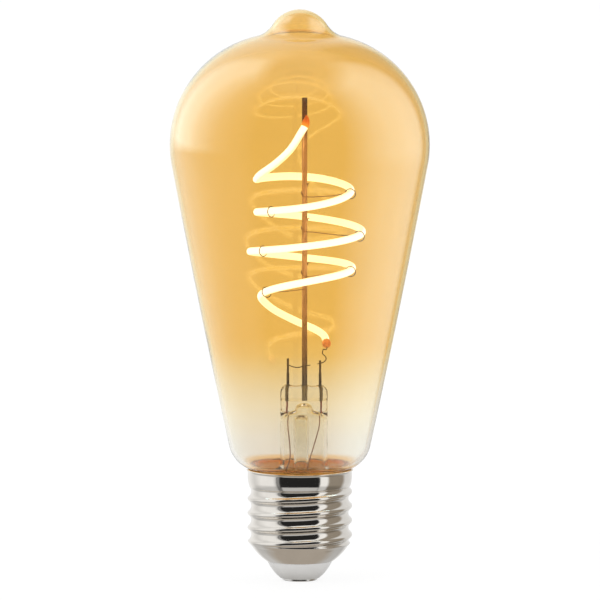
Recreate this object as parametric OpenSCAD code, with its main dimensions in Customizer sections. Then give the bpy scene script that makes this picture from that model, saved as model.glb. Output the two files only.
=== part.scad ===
// Smart filament lamp: a pear-shaped amber bulb with a spiral light-emitting filament on an E27 screw cap.
// Millimetres. The origin is the centre of the contact's underside, and +Z runs up the bulb to the pip.

/* [Bulb glass] */
// Radius of the round top of the bulb, seen from the side
dome_r = 27.8; // [27:0.1:28.5]
// How far the centre of that round top lies from the bulb's axis
dome_out = 4.7; // [4:0.1:5]
// Height of the widest ring
dome_z = 109.5; // [108:0.5:111]
// Half angle of the long cone under the widest ring, in degrees
cone_angle = 11.5; // [11:0.1:12]
// How far the cone's side bows outwards at its middle
cone_bow = 0.25; // [0:0.05:0.5]
// Radius of the shoulder that turns into the cap
shoulder_r = 8; // [7.5:0.1:8.5]
// Height of the shoulder's centre
shoulder_z = 35.6; // [35:0.1:36]
// How far the shoulder's centre lies from the bulb's axis
shoulder_out = 9.9; // [9.5:0.1:10]
// Thickness of the glass
glass_wall = 0.9; // [0.7:0.1:1.1]
// Radius of the neck that goes into the cap
neck_r = 12; // [11.8:0.1:12.1]
// Height of the neck's lower edge
neck_z = 23.8; // [23.7:0.1:24.5]
// Height of the top of the pip
pip_top = 143.4; // [143:0.1:144]
// Radius of the pip's round end
pip_r = 8; // [7.5:0.1:8.5]
// Radius of the hollow inside the pip
pip_hollow_r = 5.6; // [5:0.1:6]
// Radius that blends the pip into the bulb
pip_blend = 7; // [5:0.5:8]

/* [Screw cap] */
// Height of the cap's rim
rim_z = 28; // [27.9:0.1:28.1]
// Thickness of the cap's sheet metal
sheet = 0.3; // [0.25:0.05:0.35]
// Radius over the crests of the thread
crest_r = 13.1; // [13.05:0.05:13.2]
// Depth of the thread
thread_depth = 0.9; // [0.8:0.05:0.95]
// Rise of one turn of the thread
thread_pitch = 3.629; // [3.6:0.001:3.65]
// Radius of the smooth collar above the thread
collar_r = 13.05; // [13:0.05:13.1]
// Height of a crest on the +X side
crest_z = 18.74; // [18:0.01:19.5]
// Radius of the centre contact
contact_r = 4.4; // [4.2:0.1:4.6]
// Thickness of the centre contact
contact_t = 0.55; // [0.5:0.05:0.7]
// Height of the insulator's shoulder, where the metal starts
insulator_z = 4.9; // [4.8:0.1:5]

/* [Stem] */
// How far the stem stands off the bulb's axis
stem_x = 1.05; // [0.9:0.05:1.2]
// Radius of the stem's tube
stem_r = 5.95; // [5.8:0.05:6]
// Thickness of the stem's tube
stem_wall = 1; // [0.9:0.05:1.1]
// Height where the tube meets the press
press_z = 42; // [41.5:0.1:42.5]
// Height of the press's top
press_top = 49.3; // [49:0.1:49.6]
// Half of the press's thickness
press_half = 2.7; // [2.6:0.1:3]
// Radius of the exhaust tube
exhaust_r = 1.9; // [1.7:0.05:2]
// Height of the exhaust tube's sealed tip
exhaust_tip = 19.5; // [18.5:0.5:20.5]

/* [Mast, leads and supports] */
// Radius of the mast that carries the filament
mast_r = 0.68; // [0.6:0.02:0.7]
// Height of the mast's top
mast_top = 121.3; // [120.5:0.1:122]
// Distance from the stem's centre to each lead
lead_gap = 4.03; // [3.9:0.01:4.1]
// Radius of the thin upper half of a lead
lead_r = 0.28; // [0.2:0.01:0.3]
// Radius of the thick lower half of a lead
lead_foot_r = 0.35; // [0.3:0.01:0.4]
// Radius of the copper-clad wire sealed in the press
dumet_r = 0.2; // [0.15:0.01:0.22]
// Radius of the copper wires below the press
outer_lead_r = 0.14; // [0.12:0.01:0.16]
// Radius of the wires that hold the filament
support_r = 0.11; // [0.1:0.01:0.13]

/* [Filament] */
// Radius of the glowing silicone cord
filament_r = 0.9; // [0.85:0.01:1]
// Half width of the strip that carries the chips
strip_half = 0.55; // [0.5:0.01:0.6]
// Thickness of that strip
strip_t = 0.16; // [0.12:0.01:0.2]
// Length of one chip
chip_l = 0.7; // [0.5:0.05:0.8]

/* [Driver and radio] */
// Height of the driver board's underside
board_z = 12; // [11.8:0.1:12.2]
// Radius of the driver board
board_r = 10.6; // [10.5:0.05:10.65]
// Thickness of the driver board
board_t = 1; // [0.8:0.1:1]
// Outer radius of the plastic sleeve that holds the board
sleeve_r = 11.45; // [11.4:0.05:11.5]

/* [Hidden] */
$fn = 64;

// The mast stands just beside the stem's centre, and the filament's spiral turns round it.
mast_x = stem_x + 0.15;
exhaust_x = 0.35;
lead_x = [stem_x - lead_gap, stem_x + lead_gap];
dumet_top = 45.3;

// Stations down the filament: [angle round the mast in degrees, distance from the mast, height].
FILAMENT = [
  [270, 1.8, 114.2], [240, 2.6, 112], [222, 5, 108.4], [208, 8.4, 105], [194, 11.2, 102.4],
  [180, 12, 100.9], [90, 12, 100.3], [0, 11.6, 98], [-90, 11.6, 95], [-180, 11.9, 92.7],
  [-270, 12.5, 90.3], [-360, 14.4, 87.8], [-450, 13.2, 85.4], [-540, 13.6, 82.8],
  [-630, 12.6, 79.9], [-720, 11.9, 78.6], [-810, 11.6, 76.3], [-900, 10.9, 71.3],
  [-945, 9.7, 66.9], [-975, 8.4, 64.4], [-1010, 7.8, 62.4], [-1034, 7.1, 61], [-1046, 6.5, 59.8]
];

// Where each support grips the filament (an angle from the stations above) and meets the mast (a height).
SUPPORTS_RIGHT = [[-10, 96.7], [-378, 87.9], [-735, 76.8]];
SUPPORTS_LEFT = [[-135, 93.9], [-500, 84.3], [-867, 73.3]];

// Vectors.
function unit(v) = v / norm(v);
function square_to(n, t) = unit(n - (n * t) * t);
function tangent(p, i) = unit(p[min(i + 1, len(p) - 1)] - p[max(i - 1, 0)]);
function any_side(t) = abs(t[2]) < 0.8 ? [0, 0, 1] : [1, 0, 0];
function arc(c, r, from, to, steps) =
  [for (i = [0:steps]) let (a = from + (to - from) * i / steps) [c[0] + r * cos(a), c[1] + r * sin(a)]];

// The point right of the axis where a circle round a meets a circle round b.
function crossing(a, ra, b, rb) =
  let (d = norm(b - a), u = (b - a) / d, along = (ra * ra - rb * rb + d * d) / (2 * d))
  let (out = sqrt(ra * ra - along * along))
  [a[0] + u[0] * along - u[1] * out, a[1] + u[1] * along + u[0] * out];

// The filament's centre line, smooth in angle through its stations.
function slope(i, k) =
  let (a = FILAMENT[max(i - 1, 0)], b = FILAMENT[min(i + 1, len(FILAMENT) - 1)])
  (b[k] - a[k]) / (b[0] - a[0]);
function between(i, t, k) =
  let (a = FILAMENT[i], b = FILAMENT[i + 1], w = b[0] - a[0])
  a[k] * (2 * t * t * t - 3 * t * t + 1) + b[k] * (3 * t * t - 2 * t * t * t)
  + w * (slope(i, k) * (t * t * t - 2 * t * t + t) + slope(i + 1, k) * (t * t * t - t * t));
function spot(angle, r, z) = [mast_x + r * cos(angle), r * sin(angle), z];
function on_filament(i, t) =
  spot(FILAMENT[i][0] + t * (FILAMENT[i + 1][0] - FILAMENT[i][0]), between(i, t, 1), between(i, t, 2));
function span_of(angle) = [for (i = [0:len(FILAMENT) - 2]) if (FILAMENT[i + 1][0] <= angle) i][0];
function filament_at(angle) =
  let (i = span_of(angle))
  on_filament(i, (FILAMENT[i][0] - angle) / (FILAMENT[i][0] - FILAMENT[i + 1][0]));
STEP_ANGLE = 16;
filament_path = concat(
  [for (i = [0:len(FILAMENT) - 2])
    let (n = max(2, ceil((FILAMENT[i][0] - FILAMENT[i + 1][0]) / STEP_ANGLE)))
    for (j = [0:n - 1]) on_filament(i, j / n)],
  [on_filament(len(FILAMENT) - 2, 1)]
);
// Away from the mast, square to the cord: the way the chips face.
function outward(p, i) = square_to([p[i][0] - mast_x, p[i][1], 0], tangent(p, i));

// A solid from closed rings of points, each with the same number of points.
module skin(rings) {
  n = len(rings[0]);
  last = len(rings) - 1;
  sides = [for (i = [0:last - 1]) for (j = [0:n - 1]) let (k = (j + 1) % n)
    each [[i * n + j, i * n + k, (i + 1) * n + k], [i * n + j, (i + 1) * n + k, (i + 1) * n + j]]];
  floor = [for (j = [1:n - 2]) [0, j + 1, j]];
  roof = [for (j = [1:n - 2]) [last * n, last * n + j, last * n + j + 1]];
  polyhedron([for (ring = rings) each ring], concat(sides, floor, roof));
}

// A solid whose rings close on themselves the long way round, such as a pipe's outside and then its inside.
module loop_skin(rings) {
  n = len(rings[0]);
  m = len(rings);
  faces = [for (i = [0:m - 1]) for (j = [0:n - 1]) let (k = (j + 1) % n, h = (i + 1) % m)
    each [[i * n + j, i * n + k, h * n + k], [i * n + j, h * n + k, h * n + j]]];
  polyhedron([for (ring = rings) each ring], faces);
}

// A round wire along points, with one radius for each point.
function carried(p) =
  [for (i = 0, n = square_to(any_side(tangent(p, 0)), tangent(p, 0)); i < len(p);
    i = i + 1, n = square_to(n, tangent(p, min(i, len(p) - 1)))) n];
module wire(p, radii, sides = 8) {
  side = carried(p);
  skin([for (i = [0:len(p) - 1]) let (t = tangent(p, i), up = cross(t, side[i]))
    [for (j = [0:sides - 1]) let (a = 360 * j / sides)
      p[i] + radii[i] * (cos(a) * side[i] + sin(a) * up)]]);
}
module even_wire(p, r, sides = 8) wire(p, [for (q = p) r], sides);

// Bulb glass: the pip, the round top, the long cone, the shoulder and the neck, down to the neck's edge.
function glass_side(wall, tip, tip_z, blend) =
  let (pip_c = [0, tip_z - tip], dome_c = [dome_out, dome_z], r = dome_r - wall)
  let (blend_c = crossing(pip_c, tip + blend, dome_c, r + blend))
  let (a1 = atan2(blend_c[1] - pip_c[1], blend_c[0]), d = blend_c - dome_c, a2 = atan2(d[1], d[0]))
  let (s = shoulder_r - wall, shoulder_c = [shoulder_out, shoulder_z])
  let (top = dome_c + r * [cos(cone_angle), -sin(cone_angle)])
  let (foot = shoulder_c + s * [cos(cone_angle), -sin(cone_angle)])
  concat(
    arc(pip_c, tip, 90, a1, 8), arc(blend_c, blend, a1 + 180, a2 + 180, 5), arc(dome_c, r, a2, -cone_angle, 22),
    [for (i = [1:9]) let (t = i / 10) top + t * (foot - top) + [4 * cone_bow * t * (1 - t), 0]],
    arc(shoulder_c, s, -cone_angle, -acos((neck_r - wall - shoulder_out) / s), 8)
  );

module glass_solid() {
  side = glass_side(0, pip_r, pip_top, pip_blend);
  rotate_extrude() polygon(concat([[0, neck_z]], side, [[neck_r, neck_z]]));
}

module glass_envelope() {
  outside = glass_side(0, pip_r, pip_top, pip_blend);
  inside = glass_side(glass_wall, pip_hollow_r, pip_top - 2.2, pip_blend + 1);
  back = [for (i = [len(inside) - 1:-1:0]) inside[i]];
  color("goldenrod", 0.4)
    rotate_extrude()
      polygon(concat(outside, [[neck_r, neck_z], [neck_r - glass_wall, neck_z]], back));
}

// Stem: a flared tube fused to the neck at the bottom and pinched flat at the top.
FLARE = [[0, 0, 1], [0.9, 0, 1], [1.6, 0.2, 0.8], [2.6, 0.55, 0.45], [3.8, 0.8, 0.22], [5.4, 0.95, 0.08], [7.4, 1, 0]];
flare_rings = 32;
function ring(x, half_x, half_y, z) =
  [for (j = [0:flare_rings - 1]) let (a = 360 * j / flare_rings) [x + half_x * cos(a), half_y * sin(a), z]];
function flare_side(inset, rim_r) = concat(
  [for (f = FLARE) ring(stem_x * f[1], stem_r - inset + (rim_r - stem_r) * f[2],
    stem_r - inset + (rim_r - stem_r) * f[2], neck_z + f[0])],
  [ring(stem_x, stem_r - inset, stem_r - inset, press_z - 3.2),
   ring(stem_x, stem_r - inset, stem_r - inset - 1.1, press_z - 1.4),
   ring(stem_x, stem_r - inset, press_half - 0.6 * inset, press_z)]
);

module stem_flare() {
  rim_r = neck_r - glass_wall - 0.02;
  outside = flare_side(0, rim_r);
  inside = flare_side(stem_wall, rim_r);
  color("lightyellow", 0.5)
    loop_skin(concat(outside, [for (i = [len(inside) - 1:-1:0]) inside[i]]));
}

// Press: the flat top of the stem, solid glass round the mast and the two leads.
module stem_press() {
  end_x = stem_r - press_half;
  corner = 1.6;
  color("lightyellow", 0.5)
    difference() {
      intersection() {
        translate([stem_x, 0, press_z])
          linear_extrude(press_top - press_z)
            union() {
              square([2 * end_x, 2 * press_half], center = true);
              for (x = [-end_x, end_x]) translate([x, 0]) circle(press_half);
            }
        translate([stem_x, press_half + 1, 0])
          rotate([90, 0, 0])
            linear_extrude(2 * press_half + 2)
              polygon(concat(
                [[-stem_r - 1, press_z - 1], [-stem_r - 1, press_top - corner - 1], [-stem_r, press_top - corner - 0.6]],
                arc([-stem_r + corner, press_top - corner], corner, 180, 90, 5),
                arc([stem_r - corner, press_top - corner], corner, 90, 0, 5),
                [[stem_r, press_top - corner - 0.6], [stem_r + 1, press_top - corner - 1], [stem_r + 1, press_z - 1]]
              ));
      }
      translate([mast_x, 0, dumet_top + 0.3]) cylinder(r = mast_r, h = 10);
      for (x = lead_x) {
        translate([x, 0, dumet_top]) cylinder(r = lead_foot_r, h = 10);
        translate([x, 0, press_z - 1]) cylinder(r = dumet_r, h = 10);
      }
    }
}

// Exhaust tube: the pumping tube inside the stem, melted shut at its tip.
module exhaust_tube() {
  wall = 0.5;
  bore = exhaust_r - wall;
  tip_c = exhaust_tip + exhaust_r;
  color("lightyellow", 0.5)
    translate([exhaust_x, 0, 0])
      rotate_extrude()
        polygon(concat(
          arc([0, tip_c], exhaust_r, -90, 0, 8), [[exhaust_r, press_z], [bore, press_z]],
          arc([0, tip_c + 0.6], bore, 0, -90, 8)
        ));
}

// Mast: the rod that stands in the press and carries the spiral.
module support_mast() {
  chamfer = 0.15;
  foot = dumet_top + 0.3;
  color("peru")
    translate([mast_x, 0, 0])
      rotate_extrude()
        polygon([[0, foot], [mast_r, foot], [mast_r, mast_top - chamfer], [mast_r - chamfer, mast_top], [0, mast_top]]);
}

// Tab: the filament's upper terminal, a flat strip welded up the front of the mast.
tab_w = 0.9;
tab_t = 0.2;
module filament_tab() {
  foot = 116.7;
  color("sienna")
    difference() {
      translate([mast_x - tab_w / 2, -mast_r - tab_t, foot]) cube([tab_w, tab_t + 0.3, mast_top - 0.6 - foot]);
      translate([mast_x, 0, foot - 1]) cylinder(r = mast_r, h = 10);
    }
}

// Filament: a silicone cord with a channel, and in it a flexible strip with a row of chips.
channel_half = strip_half + 0.03;
channel_t = 0.44;
function cord_ring(i) =
  let (p = filament_path, t = tangent(p, i), out = outward(p, i), up = cross(t, out))
  [for (j = [0:11]) p[i] + filament_r * (cos(30 * j) * up + sin(30 * j) * out)];
CHANNEL = [[1, 0], [1, 1], [0.5, 1], [0, 1], [-0.5, 1], [-1, 1], [-1, 0], [-1, -1], [-0.5, -1], [0, -1], [0.5, -1], [1, -1]];
function box_ring(i, points, half_w, low, high) =
  let (p = filament_path, t = tangent(p, i), out = outward(p, i), up = cross(t, out))
  [for (c = points) p[i] + half_w * c[0] * up + (low + (high - low) * (c[1] + 1) / 2) * out];

module filament_silicone() {
  last = len(filament_path) - 1;
  color("lightgoldenrodyellow")
    loop_skin(concat(
      [for (i = [0:last]) cord_ring(i)],
      [for (i = [last:-1:0]) box_ring(i, CHANNEL, channel_half, -channel_t / 2, channel_t / 2)]
    ));
}

module filament_strip() {
  corners = [[1, -1], [1, 1], [-1, 1], [-1, -1]];
  low = 0.03 - channel_t / 2;
  color("white")
    skin([for (i = [0:len(filament_path) - 1]) box_ring(i, corners, strip_half, low, low + strip_t)]);
}

module filament_chips() {
  chip_w = 0.45;
  chip_t = 0.16;
  bed = 0.05 - channel_t / 2 + strip_t;
  color("khaki")
    for (i = [0:len(filament_path) - 2]) {
      a = filament_path[i];
      b = filament_path[i + 1];
      t = unit(b - a);
      out = square_to(outward(filament_path, i) + outward(filament_path, i + 1), t);
      up = cross(t, out);
      count = max(1, floor(norm(b - a) / 1.6));
      for (j = [0:count - 1]) {
        at = a + (b - a) * (j + 0.5) / count + bed * out;
        multmatrix([[t[0], up[0], out[0], at[0]], [t[1], up[1], out[1], at[1]], [t[2], up[2], out[2], at[2]]])
          translate([-chip_l / 2, -chip_w / 2, 0]) cube([chip_l, chip_w, chip_t]);
      }
    }
}

// End beads: clear orange silicone that closes each end of the cord.
module end_bead(from, along, lengths, radii) {
  wire([for (l = lengths) from + l * along], radii, 12);
}

module filament_end_top() {
  p = filament_path;
  along = -tangent(p, 0);
  turn = unit(along + [0, 0, 1.2]);
  color("darkorange", 0.8)
    wire(
      [p[0], p[0] + 0.5 * along, p[0] + 0.5 * along + 0.7 * turn, p[0] + 0.5 * along + 1.4 * turn + [0, 0, 0.1],
        p[0] + 0.5 * along + 1.9 * turn + [-0.15, 0.1, 0.4]],
      [0.98, 1.02, 0.95, 0.68, 0.3], 12
    );
}

module filament_end_bottom() {
  last = len(filament_path) - 1;
  along = tangent(filament_path, last);
  color("darkorange", 0.8)
    end_bead(filament_path[last], along, [0, 0.4, 1.1, 1.7, 2.05], [0.99, 1.1, 1.08, 0.7, 0.2]);
}

// Supports: each hangs on the cord by a loose ring and runs to the mast.
ring_gap = 0.27;
ring_drop = 0.22;
function grip(angle, from, to, steps) =
  let (c = filament_at(angle), d = filament_at(angle - 2) - filament_at(angle + 2), t = unit(d))
  let (out = square_to([c[0] - mast_x, c[1], 0], t), up = cross(out, t), r = filament_r + ring_gap + support_r)
  [for (i = [0:steps]) let (a = from + (to - from) * i / steps)
    c + r * (cos(a) * out + sin(a) * up) - [0, 0, ring_drop]];
function wrap(z, from, to, rise, steps) =
  let (r = mast_r + support_r + 0.01)
  [for (i = [0:steps]) let (a = from + (to - from) * i / steps)
    [mast_x + r * cos(a), r * sin(a), z + rise * i / steps]];

// A right-hand support wraps once round the mast and ends in a short stub.
module support_right(s) {
  loop = grip(s[0], 130, -180, 14);
  turns = wrap(s[1], 250, -20, 3.1, 9);
  stub = [mast_x + mast_r + 0.45, -0.5, s[1] + 3.3];
  color("rosybrown") even_wire(concat(loop, [[mast_x + 2, -1.3, s[1] - 0.1]], turns, [stub]), support_r, 6);
}

module support_left(s) {
  loop = grip(s[0], 150, -180, 14);
  end = [[mast_x - 0.9, -0.85, s[1]], [mast_x + 0.3, -mast_r - support_r - 0.02, s[1] + 0.1]];
  color("rosybrown") even_wire(concat(loop, end), support_r, 6);
}

// Leads above the press, with a thick foot and a thin top.
module inner_lead(side, top) {
  step_z = press_top + 2.9;
  color("dimgray")
    translate([lead_x[side], 0, 0])
      rotate_extrude()
        polygon([[0, dumet_top], [lead_foot_r, dumet_top], [lead_foot_r, step_z], [lead_r, step_z + 0.3],
          [lead_r, top], [0, top]]);
}
lead_top = [55.9, 55.4];

// Copper-clad wires sealed in the press.
module dumet(side) {
  color("firebrick") translate([lead_x[side], 0, press_z]) cylinder(r = dumet_r, h = dumet_top - press_z);
}

// Copper wires from the press down to the driver board.
OUTER_LEFT = [
  [-3, -0.1, 41.95], [-2.95, -1, 39.4], [-2.55, -1.9, 36.2], [-2.3, -2.4, 33.5], [-2.3, -2.6, 30.8],
  [-3.1, -2.4, 27.4], [-4.6, -1.4, 22], [-6.8, 0.8, 16.5], [-7, 1, 13.05]
];
OUTER_RIGHT = [
  [5.1, -0.1, 41.95], [4.9, -0.8, 39.4], [4, -1.9, 36.2], [3.2, -2.5, 33.5], [2.4, -2.7, 30.4],
  [1.95, -2.7, 27.5], [3.3, -2, 22], [6.6, 0.6, 16.5], [7, 1, 13.05]
];
module outer_lead(route) {
  color("chocolate") even_wire(route, outer_lead_r);
}

// Jumper: a thin wire that sags from the left lead to the mast and stops just past it.
module jumper_wire() {
  r = 0.12;
  front = -mast_r - r - 0.02;
  color("gray")
    even_wire([
      [lead_x[0] + lead_r - 0.1, front + 0.25, 54.3], [lead_x[0] + 1.2, front + 0.1, 53.9], [-0.5, front, 53.7],
      [mast_x - 0.8, front, 53.9], [mast_x + 0.5, front, 54.2], [mast_x + 1.4, front, 54.3]
    ], r, 6);
}

// Hook: the wire from the filament's lower end to the right lead.
module hook_wire() {
  r = 0.13;
  last = len(filament_path) - 1;
  end = filament_path[last] + 2.08 * tangent(filament_path, last);
  color("dimgray")
    even_wire([
      end, end + [-0.3, -0.5, -0.5], end + [-1, -1.3, -0.4], [5.7, 0.4, 57.1], [6.5, -0.2, 56.3], [6.5, -0.5, 55.6],
      [5.9, -0.5, 55], [lead_x[1], -lead_r - r - 0.02, 54.7], [lead_x[1] - 0.6, -lead_r - r - 0.02, 54.6]
    ], r, 6);
}

// Screw shell: a rolled sheet with an E27 thread, a smooth collar with a lip above it and a closed-in foot.
thread_top = 24.2;
thread_foot = 8.9;
fade_h = 0.9;
rows_in_turn = 6;
shell_steps = 36;
// The groove's depth: a tight arc over each crest runs into a wider one along the valley.
crest_arc_r = 0.8;
half_turn = thread_pitch / 2;
steepest = 2 * atan(thread_depth / half_turn);
valley_arc_r = half_turn / sin(steepest) - crest_arc_r;
function sag(x, r) = r - sqrt(r * r - x * x);
function groove(z, angle) =
  let (turn = (z - crest_z) / thread_pitch - angle / 360, off = abs(turn - round(turn)) * thread_pitch)
  off < crest_arc_r * sin(steepest) ? sag(off, crest_arc_r) : thread_depth - sag(half_turn - off, valley_arc_r);
function fade(z) = max(0, min(1, (thread_top - z) / fade_h));
function thread_r(z, angle, base) = min(base, crest_r - fade(z) * groove(z, angle));
// Under the collar the shell draws in to a waist, opens again to the thread and closes at its foot.
waist_r = collar_r - 0.45;
waist_z = rim_z - 4.4;
foot_edge_r = 12.3;
function base_r(z) = min(crest_r, waist_r + 0.5 * (waist_z - z), foot_edge_r + 0.8 * (z - thread_foot));
LIP = [
  [0, 12.85], [0.05, 13.1], [-0.15, 13.37], [-0.4, 13.22], [-0.6, collar_r], [-2, collar_r],
  [-3.4, collar_r - 0.15], [-4.4, waist_r]
];
FOOT = [[8.67, 12.05], [8.15, 11.75], [7.2, 10.95], [6.2, 10], [5.2, 8.65], [insulator_z, 8.3]];
thread_start = waist_z - 0.5;
thread_rows = floor((thread_start - thread_foot) / thread_pitch * rows_in_turn);
// Rows down the outside, as [height, radius on which the thread is rolled].
shell_side = concat(
  [for (p = LIP) [rim_z + p[0], p[1]]],
  [for (i = [0:thread_rows]) let (z = thread_start + (thread_foot - thread_start) * i / thread_rows) [z, base_r(z)]],
  FOOT
);
function shell_ring(row, inset) =
  [for (j = [0:shell_steps - 1]) let (a = 360 * j / shell_steps, r = thread_r(row[0], a, row[1]) - inset)
    [r * cos(a), r * sin(a), row[0]]];
lip_rows = 4;
inner_side = concat([[rim_z - 0.3, collar_r]], [for (i = [lip_rows:len(shell_side) - 1]) shell_side[i]]);

module screw_shell() {
  inside = [for (i = [len(inner_side) - 1:-1:0]) shell_ring(inner_side[i], sheet)];
  color("silver")
    loop_skin(concat(inside, [for (row = shell_side) shell_ring(row, 0)]));
}

// Insulator: the white foot between the shell and the contact.
rivet_r = 1.1;
module cap_insulator() {
  color("whitesmoke")
    rotate_extrude()
      polygon([
        [rivet_r, contact_t], [4.8, contact_t], [5.2, 0.85], [6.1, 1.7], [6.85, 2.65], [7.5, 3.6], [8, 4.5],
        [8.25, insulator_z], [7.9, insulator_z], [7.9, 5.6], [7.4, 7], [rivet_r, 7]
      ]);
}

// Contact: a round plate with a hollow rivet up through the insulator.
module centre_contact() {
  edge = 0.3;
  color("silver")
    rotate_extrude()
      polygon([
        [0, 0], [contact_r - edge, 0], [contact_r - 0.08, edge - 0.2], [contact_r, edge], [contact_r, contact_t],
        [rivet_r, contact_t], [rivet_r, 7.4], [rivet_r - 0.5, 7.4], [rivet_r - 0.5, 1.2], [0, 1.2]
      ]);
}

// Cement: holds the neck in the cap and fills the gap up to the glass's shoulder.
module capping_cement() {
  outer_r = collar_r - sheet - 0.09;
  inner_r = neck_r - 0.5;
  foot_z = neck_z + 0.1;
  top_z = rim_z + 0.2;
  color("chocolate")
    difference() {
      rotate_extrude()
        polygon([
          [inner_r, foot_z], [waist_r - sheet - 0.1, foot_z], [outer_r, foot_z + 2], [outer_r, top_z], [inner_r, top_z]
        ]);
      glass_solid();
    }
}

// Sleeve: the plastic holder that keeps the board clear of the metal.
module driver_holder() {
  inner_r = sleeve_r - 0.75;
  ledge_r = board_r - 0.8;
  color("ivory")
    rotate_extrude()
      polygon([
        [ledge_r, board_z - 0.8], [inner_r, board_z - 1.6], [inner_r, 9.4], [sleeve_r, 9.4], [sleeve_r, neck_z - 0.4],
        [inner_r, neck_z - 0.4], [inner_r, board_z], [ledge_r, board_z]
      ]);
}

// Board: round, with holes for the wires.
module driver_board() {
  color("forestgreen")
    translate([0, 0, board_z])
      difference() {
        cylinder(r = board_r, h = board_t);
        translate([0, 0, -1]) cylinder(r = 0.3, h = 3);
        translate([9, 0, -1]) cylinder(r = 0.3, h = 3);
      }
}
board_top = board_z + board_t;

// Capacitor: a can with a rolled groove.
module electrolytic_capacitor() {
  can_r = 2.5;
  can_h = 8;
  groove = 0.25;
  color("midnightblue")
    translate([5, -5.2, board_top])
      rotate_extrude()
        polygon([
          [0, 0], [can_r, 0], [can_r, 1], [can_r - groove, 1.3], [can_r, 1.6], [can_r, can_h - 0.2], [can_r - 0.2, can_h],
          [0, can_h]
        ]);
}

// A flat chip body with bent legs along its two long sides.
module leaded_chip(l, w, h, legs, leg_w) {
  pitch = l / legs;
  translate([-l / 2, -w / 2, 0.15]) cube([l, w, h]);
  for (i = [0:legs - 1])
    for (side = [-1, 1])
      translate([(i + 0.5) * pitch - l / 2, side * w / 2, 0]) {
        translate([-leg_w / 2, side < 0 ? -0.5 : -0.2, 0.4]) cube([leg_w, 0.7, 0.2]);
        translate([-leg_w / 2, side < 0 ? -0.6 : 0.4, 0]) cube([leg_w, 0.2, 0.6]);
      }
}

module bridge_rectifier() {
  color("dimgray")
    translate([0, -5, board_z]) rotate([180, 0, 0]) leaded_chip(4.6, 3.6, 1.4, 2, 0.7);
}

module driver_chip() {
  color("darkslategray")
    translate([0, 5, board_z]) rotate([180, 0, 0]) leaded_chip(4.9, 3.8, 1.3, 4, 0.4);
}

// Inductor: a drum of ferrite with copper wound in its waist.
drum_r = 2.4;
drum_waist = 1.1;
module inductor_core() {
  color("darkslategray")
    translate([-5.2, -5, board_top])
      rotate_extrude()
        polygon([[0, 0], [drum_r, 0], [drum_r, 0.8], [drum_waist, 0.8], [drum_waist, 4.2], [drum_r, 4.2], [drum_r, 5], [0, 5]]);
}

module inductor_winding() {
  color("orangered")
    translate([-5.2, -5, board_top + 0.82])
      rotate_extrude()
        polygon([[drum_waist + 0.02, 0], [drum_r - 0.25, 0], [drum_r - 0.15, 0.3], [drum_r - 0.15, 3.06],
          [drum_r - 0.25, 3.36], [drum_waist + 0.02, 3.36]]);
}

// Fuse resistor: stands under the board in line with the contact.
module fuse_resistor() {
  color("tan")
    rotate_extrude()
      polygon([
        [0, 8.4], [0.8, 8.4], [1.1, 8.6], [1.1, 9.1], [0.95, 9.3], [0.95, 10.5], [1.1, 10.7], [1.1, 11.2], [0.8, 11.4],
        [0.25, 11.4], [0.25, board_top], [0, board_top]
      ]);
}

// Radio: an upright board with a shielded chip and an antenna at its top.
radio_y = 5.6;
module radio_board() {
  color("darkgreen") translate([-4.5, radio_y, board_top]) cube([9, 0.8, 9.4]);
}

module radio_shield() {
  color("lightgray")
    difference() {
      translate([-3.2, radio_y - 1.3, board_top + 1.4]) cube([6.4, 1.3, 4.6]);
      translate([-3, radio_y - 1.1, board_top + 1.6]) cube([6, 1.2, 4.2]);
    }
}

module radio_antenna() {
  color("white") translate([-2.5, radio_y - 0.7, board_top + 7.4]) cube([5, 0.7, 1.2]);
}

// Supply wires: from the contact to the fuse, and from the board to the shell.
module live_wire() {
  color("silver") translate([0, 0, 1.25]) cylinder(r = 0.3, h = 7.12);
}

module neutral_wire() {
  color("silver")
    even_wire([[9, 0, board_z + 0.5], [9, 0, 10.6], [9.3, 0, 9.5], [10.2, 0, 8.8], [11.55, 0, 8.6]], 0.22);
}

glass_envelope();
stem_flare();
stem_press();
exhaust_tube();
support_mast();
filament_tab();
filament_silicone();
filament_strip();
filament_chips();
filament_end_top();
filament_end_bottom();
support_right(SUPPORTS_RIGHT[0]);  // support_right_1
support_right(SUPPORTS_RIGHT[1]);  // support_right_2
support_right(SUPPORTS_RIGHT[2]);  // support_right_3
support_left(SUPPORTS_LEFT[0]);  // support_left_1
support_left(SUPPORTS_LEFT[1]);  // support_left_2
support_left(SUPPORTS_LEFT[2]);  // support_left_3
inner_lead(0, lead_top[0]);  // inner_lead_left
inner_lead(1, lead_top[1]);  // inner_lead_right
dumet(0);  // dumet_left
dumet(1);  // dumet_right
outer_lead(OUTER_LEFT);  // outer_lead_left
outer_lead(OUTER_RIGHT);  // outer_lead_right
jumper_wire();
hook_wire();
screw_shell();
cap_insulator();
centre_contact();
capping_cement();
driver_holder();
driver_board();
electrolytic_capacitor();
bridge_rectifier();
inductor_core();
inductor_winding();
driver_chip();
fuse_resistor();
radio_board();
radio_shield();
radio_antenna();
live_wire();
neutral_wire();
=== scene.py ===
import math

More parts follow.
